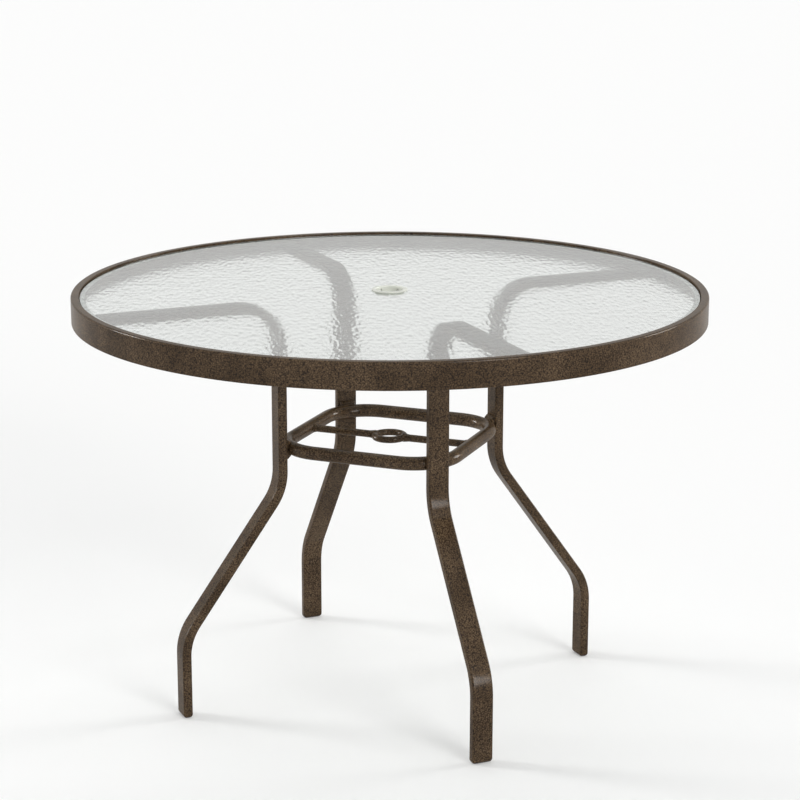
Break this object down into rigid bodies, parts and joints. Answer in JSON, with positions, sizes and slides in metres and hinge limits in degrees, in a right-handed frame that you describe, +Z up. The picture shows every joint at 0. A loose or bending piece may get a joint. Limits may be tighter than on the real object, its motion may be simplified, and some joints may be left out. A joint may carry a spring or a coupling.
{
  "type": "umbrella table",
  "caption": "Round outdoor dining table: hammered clear panel with an umbrella hole in a bronze metal rim, on bent tube legs joined by a square brace with a pole ring.",
  "frame": {"origin": "on the floor, under the middle of the umbrella hole", "axes": "+Z up from the floor to the table top; the crossbar through the pole ring runs along X, and the four legs stand on the diagonals between X and Y"},
  "size_m": [1.0668, 1.0668, 0.7112],
  "materials": {
    "frame": "satin",
    "clear_panel": "gloss",
    "vinyl": "satin",
    "hazy_plastic": "satin",
    "dark_plastic": "matte"
  },
  "bodies": {
    "root": {"rim": "frame", "top_panel": "clear_panel", "panel_strip": "vinyl", "umbrella_hole_ring": "hazy_plastic", "leg_back_right": "frame", "leg_back_left": "frame", "leg_front_left": "frame", "leg_front_right": "frame", "foot_cap_back_right": "dark_plastic", "foot_cap_back_left": "dark_plastic", "foot_cap_front_left": "dark_plastic", "foot_cap_front_right": "dark_plastic", "brace_ring": "frame", "crossbar_right": "frame", "crossbar_left": "frame", "pole_ring": "frame", "brace_weld_back_right": "frame", "brace_weld_back_left": "frame", "brace_weld_front_left": "frame", "brace_weld_front_right": "frame", "arm_weld_back_right": "frame", "arm_weld_back_left": "frame", "arm_weld_front_left": "frame", "arm_weld_front_right": "frame"}
  },
  "joints": []
}
